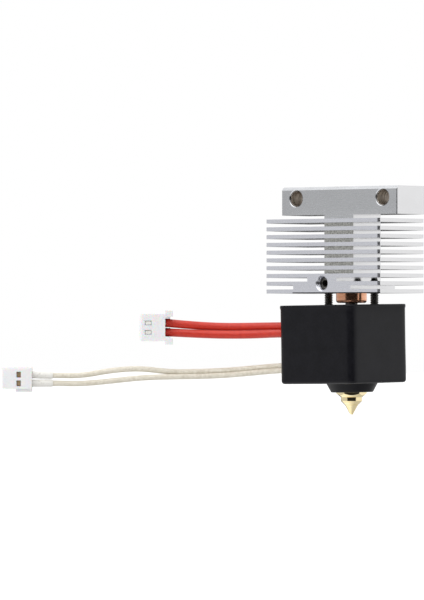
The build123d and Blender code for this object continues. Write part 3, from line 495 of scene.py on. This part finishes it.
def braided_lead(name, route, radius, carriers, relief, slot_name, far_pieces):
    """Tube of braided sleeving along the route's smooth line."""
    path, length = even_steps(smooth_line(name, route), BRAID_STEP)
    sides = carriers * SAMPLES_PER_THREAD
    around = np.arange(sides) / sides
    along = np.linspace(0, length / (2 * pi * radius), len(path))
    heights = braid_height(around[None, :], along[:, None], carriers)
    tangents = np.gradient(path, axis=0)
    tangents /= np.linalg.norm(tangents, axis=1)[:, None]
    sideways = np.cross(tangents, np.array(UP))
    sideways /= np.linalg.norm(sideways, axis=1)[:, None]
    upward = np.cross(sideways, tangents)
    reach = radius * (1 - relief * (1 - heights))
    turn = 2 * pi * around[None, :, None]
    circle = sideways[:, None, :] * np.cos(turn) + upward[:, None, :] * np.sin(turn)
    points = path[:, None, :] + circle * reach[:, :, None]
    vertices = [*points.reshape(-1, 3), path[0], path[-1]]
    faces = []
    for ring in range(len(path) - 1):
        for side in range(sides):
            beside = (side + 1) % sides
            low, high = ring * sides, (ring + 1) * sides
            faces.append((low + side, low + beside, high + beside, high + side))
    last = (len(path) - 1) * sides
    for side in range(sides):
        beside = (side + 1) % sides
        faces.append((len(vertices) - 2, beside, side))
        faces.append((len(vertices) - 1, last + side, last + beside))
    mesh = bpy.data.meshes.new(name)
    mesh.from_pydata(vertices, [], faces)
    mesh.shade_smooth()
    stored = mesh.attributes.new("relief", "FLOAT", "POINT")
    stored.data.foreach_set("value", np.concatenate([heights.ravel(), [0, 0]]).astype(np.float32))
    lead = add_object(name + "_braid", mesh)
    dress(lead, slot_name)
    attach(lead, "frame")
    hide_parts(name)


for level, route in (("upper", HEATER_UPPER_ROUTE), ("lower", HEATER_LOWER_ROUTE)):
    far_pieces = ["heater_connector_housing", "heater_contact_" + level]
    sleeve = (HEATER_LEAD_RADIUS, HEATER_CARRIERS, HEATER_RELIEF, "red_braid")
    braided_lead("heater_lead_" + level, route, *sleeve, far_pieces)
for level, route in (("upper", SENSOR_UPPER_ROUTE), ("lower", SENSOR_LOWER_ROUTE)):
    far_pieces = ["thermistor_connector_housing", "thermistor_contact_" + level, "thermistor_sleeve_" + level]
    sleeve = (SENSOR_LEAD_RADIUS, SENSOR_CARRIERS, SENSOR_RELIEF, "cream_braid")
    braided_lead("thermistor_lead_" + level, route, *sleeve, far_pieces)

# ---------------------------------------------------------------- silicone sock
SOCK_WALL = 1.8 * MM
SOCK_CORNER = 1.9 * MM
SOCK_EDGE = 0.7 * MM                # rounding round the floor
SOCK_FLOOR = -42.0 * MM             # underside of the floor
SOCK_INNER_FLOOR = -40.75 * MM
SKIRT_TOP_RADIUS = 5.8 * MM
SKIRT_BOTTOM_RADIUS = 4.85 * MM
SKIRT_HOLE_RADIUS = 4.0 * MM
SKIRT_RIM = 0.25 * MM
LIP_OUT = 0.14 * MM                 # the top edge's bead stands this far out
LIP_START = 1.0 * MM                # where the plain wall ends, below the top
LIP_PROFILE = ((0.6, 0.75), (1.0, 0.5), (0.85, 0.22), (0.2, 0.05), (-1.2, 0.0))  # share of LIP_OUT, mm down
INNER_PROFILE = ((0.3, 0.0), (0.08, 0.08), (0.0, 0.3))  # mm out from the inner wall, mm down
NOTCH_WIDTH = 3.8 * MM
NOTCH_BOTTOM = -39.9 * MM
NOTCH_CENTRE_Y = AXIS_Y - 7.1 * MM
SOCK_TILT = radians(0.9)            # the soft sock sits slightly askew on its block
SWELL = 0.05 * MM                   # unevenness of the moulded walls
SWELL_SIZE = 6 * MM
WELD = 0.001 * MM                   # points nearer than this are one point
SHARP = radians(40)                 # edges that turn more than this stay sharp
SIDE_STEPS = 14
CORNER_STEPS = 8
EDGE_STEPS = 6                      # rings round the floor's edge
WALL_STEPS = 12                     # rings up the outside
INNER_STEPS = 6                     # rings down the inside
NOTCH_STEPS = 24                    # sides of the slot's round end
RING_SIZE = 4 * (SIDE_STEPS + CORNER_STEPS)


def rounded_ring(centre, half_x, half_y, corner, z):
    """Rounded rectangle at height z, with as many points as every other ring."""
    turning = [(1, 1), (-1, 1), (-1, -1), (1, -1)]
    arcs = []
    for quarter, (side_x, side_y) in enumerate(turning):
        middle = Vector((centre.x + side_x * (half_x - corner), centre.y + side_y * (half_y - corner), z))
        angles = [(quarter + step / CORNER_STEPS) * pi / 2 for step in range(CORNER_STEPS + 1)]
        arcs.append([middle + corner * Vector((cos(a), sin(a), 0)) for a in angles])
    ring = []
    for number, arc in enumerate(arcs):
        following = arcs[(number + 1) % 4][0]
        ring += arc
        ring += [arc[-1].lerp(following, step / SIDE_STEPS) for step in range(1, SIDE_STEPS)]
    return ring


def round_ring(radius, z):
    """Circle round the nozzle axis, with its points in step with the rounded rings."""
    first = -pi / 4 * (CORNER_STEPS - 1) / (SIDE_STEPS + CORNER_STEPS) + pi / 4
    angles = [first + 2 * pi * number / RING_SIZE for number in range(RING_SIZE)]
    return [Vector((radius * cos(a), AXIS_Y + radius * sin(a), z)) for a in angles]


def blend_rings(first, second, share):
    """A ring part of the way from one to another."""
    return [a.lerp(b, share) for a, b in zip(first, second)]


def sock_rings():
    """Rings from the skirt's inner rim, over the outside and the lip, and down the inside to the start."""
    low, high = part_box("silicone_sock")
    centre = (low + high) / 2
    half = (high - low) / 2
    top = high.z

    def wall(inset, z):
        corner = max(SOCK_CORNER - inset, 0.2 * MM)
        return rounded_ring(centre, half.x - inset, half.y - inset, corner, z)

    rings = [
        round_ring(SKIRT_HOLE_RADIUS, low.z + SKIRT_RIM),
        round_ring(SKIRT_HOLE_RADIUS + 0.3 * SKIRT_RIM, low.z + 0.3 * SKIRT_RIM),
        round_ring(SKIRT_HOLE_RADIUS + SKIRT_RIM, low.z),
        round_ring(SKIRT_BOTTOM_RADIUS - SKIRT_RIM, low.z),
        round_ring(SKIRT_BOTTOM_RADIUS - 0.2 * SKIRT_RIM, low.z + 0.35 * SKIRT_RIM),
        round_ring(SKIRT_BOTTOM_RADIUS + 0.1 * SKIRT_RIM, low.z + SKIRT_RIM),
    ]
    foot = round_ring(SKIRT_TOP_RADIUS, SOCK_FLOOR - 0.15 * MM)
    rings += [blend_rings(rings[-1], foot, share) for share in (0.25, 0.5, 0.75)]
    rings += [foot, round_ring(SKIRT_TOP_RADIUS + 0.15 * MM, SOCK_FLOOR)]
    floor_edge = wall(SOCK_EDGE, SOCK_FLOOR)
    rings += [blend_rings(rings[-1], floor_edge, share) for share in (0.1, 0.4, 0.7, 0.93)]
    for step in range(EDGE_STEPS + 1):
        angle = step / EDGE_STEPS * pi / 2
        rings.append(wall(SOCK_EDGE * (1 - sin(angle)), SOCK_FLOOR + SOCK_EDGE * (1 - cos(angle))))
    wall_bottom = SOCK_FLOOR + SOCK_EDGE
    wall_rise = top - LIP_START - wall_bottom
    rings += [wall(0, wall_bottom + wall_rise * step / WALL_STEPS) for step in range(1, WALL_STEPS + 1)]
    rings += [wall(-LIP_OUT * out, top - down * MM) for out, down in LIP_PROFILE]
    rings += [wall(SOCK_WALL - out * MM, top - down * MM) for out, down in INNER_PROFILE]
    inner_top = top - INNER_PROFILE[-1][1] * MM
    inner_drop = SOCK_INNER_FLOOR - inner_top
    inner_steps = [inner_top + inner_drop * step / INNER_STEPS for step in range(1, INNER_STEPS + 1)]
    rings += [wall(SOCK_WALL, z) for z in inner_steps]
    inner_edge = round_ring(SKIRT_HOLE_RADIUS, SOCK_INNER_FLOOR)
    rings += [blend_rings(rings[-1], inner_edge, share) for share in (0.5, 1.0)]
    return rings


def add_undulation(point, middle):
    """Moves a moulded wall's point in or out by up to SWELL."""
    swell = noise.noise(point / SWELL_SIZE) * SWELL
    outward = Vector((point.x - middle.x, point.y - middle.y, 0)).normalized()
    return point + outward * swell


def loft(name, rings):
    """Mesh through rings that all have the same number of points, closed from the last ring to the first."""
    size = len(rings[0])
    vertices = [point for ring in rings for point in ring]
    faces = []
    for number in range(len(rings)):
        low, high = number * size, (number + 1) % len(rings) * size
        for side in range(size):
            beside = (side + 1) % size
            faces.append((low + side, low + beside, high + beside, high + side))
    mesh = bpy.data.meshes.new(name)
    mesh.from_pydata(vertices, [], faces)
    shell = bmesh.new()
    shell.from_mesh(mesh)
    bmesh.ops.remove_doubles(shell, verts=shell.verts, dist=WELD)
    bmesh.ops.recalc_face_normals(shell, faces=shell.faces)
    shell.to_mesh(mesh)
    shell.free()
    return mesh


def notch_cutter(low, high):
    """Solid of the round-ended slot in the left wall, open at the top."""
    radius = NOTCH_WIDTH / 2
    round_centre = NOTCH_BOTTOM + radius
    outline = []
    for step in range(NOTCH_STEPS + 1):
        angle = pi + step / NOTCH_STEPS * pi
        outline.append((NOTCH_CENTRE_Y + radius * cos(angle), round_centre + radius * sin(angle)))
    outline += [(NOTCH_CENTRE_Y + radius, high.z + MM), (NOTCH_CENTRE_Y - radius, high.z + MM)]
    near, far = low.x - MM, low.x + SOCK_WALL + 0.3 * MM
    count = len(outline)
    vertices = [(x, y, z) for x in (near, far) for y, z in outline]
    faces = [tuple(range(count)), tuple(reversed(range(count, 2 * count)))]
    for side in range(count):
        beside = (side + 1) % count
        faces.append((side, side + count, beside + count, beside))
    mesh = bpy.data.meshes.new("notch")
    mesh.from_pydata(vertices, [], faces)
    return add_object("notch", mesh)


def modified_mesh(piece):
    """The piece's mesh with its modifiers applied."""
    graph = bpy.context.evaluated_depsgraph_get()
    return bpy.data.meshes.new_from_object(piece.evaluated_get(graph))


def make_sock():
    """Moulded sleeve over the heater block, with a round skirt, a lip and a slot for the leads."""
    low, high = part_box("silicone_sock")
    centre = (low + high) / 2
    rings = [[add_undulation(point, centre) for point in ring] for ring in sock_rings()]
    sock = add_object("sock_cover", loft("sock_cover", rings))
    cutter = notch_cutter(low, high)
    cut = sock.modifiers.new("slot", "BOOLEAN")
    cut.operation = "DIFFERENCE"
    cut.object = cutter
    sock.data = modified_mesh(sock)
    sock.modifiers.clear()
    bpy.data.objects.remove(cutter)
    turn = Matrix.Rotation(SOCK_TILT, 4, TOWARDS_CAMERA)
    sock.data.transform(Matrix.Translation(centre) @ turn @ Matrix.Translation(-centre))
    sock.data.shade_smooth()
    sock.data.set_sharp_from_angle(angle=SHARP)
    dress(sock, "black_silicone")
    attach(sock, "sock")
    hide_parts("silicone_sock")


make_sock()

# ---------------------------------------------------------------- floor, world and light
FLOOR_BELOW = 70 * MM               # the part is held up by its mounting holes
FLOOR_SIZE = 12.0
CARD_RADIUS = 1.7
CARD_STEPS = 24
SUN_SIZE = radians(75)
SUN_POWER = 1.4
SUN_TURN = (radians(28), radians(-12), radians(10))
SKY_BELOW_LEFT = 1.15               # light from below, against 1 from the sides and above
SKY_BELOW_RIGHT = 0.62
SKY_FADE = 0.45                     # how far below the horizon it has faded to that
SKY_SWING = 0.35                    # how far left and right of the view it changes over

world = bpy.data.worlds.new("studio")
bpy.context.scene.world = world
world.use_nodes = True
sky = world.node_tree
direction = add_node(sky, "ShaderNodeTexCoord").outputs["Generated"]
height = add_node(sky, "ShaderNodeSeparateXYZ", {0: direction}).outputs["Z"]
towards_right = {0: direction, 1: tuple(CAMERA_RIGHT)}
aside = add_node(sky, "ShaderNodeVectorMath", towards_right, operation="DOT_PRODUCT").outputs["Value"]
below = spread_out(sky, aside, -SKY_SWING, SKY_SWING, SKY_BELOW_LEFT, SKY_BELOW_RIGHT)
strength = blend_numbers(sky, spread_out(sky, height, -SKY_FADE, 0.0), below, 1.0)
sky.nodes["Background"].inputs["Color"].default_value = (1, 1, 1, 1)
sky.links.new(strength, sky.nodes["Background"].inputs["Strength"])

sun = add_object("overhead_light", bpy.data.lights.new("overhead_light", "SUN"))
sun.data.energy = SUN_POWER
sun.data.angle = SUN_SIZE
sun.rotation_euler = SUN_TURN

floor_mesh = bpy.data.meshes.new("floor")
half_floor = FLOOR_SIZE / 2
floor_corners = [(x * half_floor, y * half_floor, 0) for x, y in ((-1, -1), (1, -1), (1, 1), (-1, 1))]
floor_mesh.from_pydata(floor_corners, [], [(0, 1, 2, 3)])
floor = add_object("floor", floor_mesh)
floor.location.z = cad_box[0].z - FLOOR_BELOW
PALE_FLOOR = {
    "dark": (0.88, 0.88, 0.88), "light": (0.90, 0.90, 0.90), "size": 3.0,
    "rough": (0.7, 0.8), "depth": 0.01 * MM, "patch": 80.0,
}
floor_mesh.materials.append(plain_surface("pale_floor", **PALE_FLOOR))
floor.visible_diffuse = False
floor.visible_glossy = False


def reflector(name, first, last, low, high, tone):
    """Upright curved card that only reflections see, from azimuth first to last in degrees."""
    vertices = []
    for step in range(CARD_STEPS + 1):
        azimuth = radians(first + (last - first) * step / CARD_STEPS)
        x, y = CARD_RADIUS * sin(azimuth), -CARD_RADIUS * cos(azimuth)
        vertices += [(x, y, low), (x, y, high)]
    faces = [(2 * step, 2 * step + 1, 2 * step + 3, 2 * step + 2) for step in range(CARD_STEPS)]
    mesh = bpy.data.meshes.new(name)
    mesh.from_pydata(vertices, [], faces)
    material, _, shader = start_material(name, {"Roughness": 0.9})
    shader.inputs["Base Color"].default_value = (0, 0, 0, 1)
    shader.inputs["Specular IOR Level"].default_value = 0.0
    shader.inputs["Emission Color"].default_value = (tone, tone, tone, 1)
    shader.inputs["Emission Strength"].default_value = 1.0
    mesh.materials.append(material)
    card = add_object(name, mesh)
    card.visible_camera = False
    card.visible_diffuse = False
    card.visible_shadow = False
    card.visible_transmission = False


# Azimuths in degrees, heights in metres, then the card's tone
reflector("grey_card", -110, -8, -0.9, 1.3, 0.66)
reflector("dark_card", -8, 88, -0.7, 0.42, 0.02)
reflector("edge_card", -154, -114, -0.9, 0.2, 0.10)
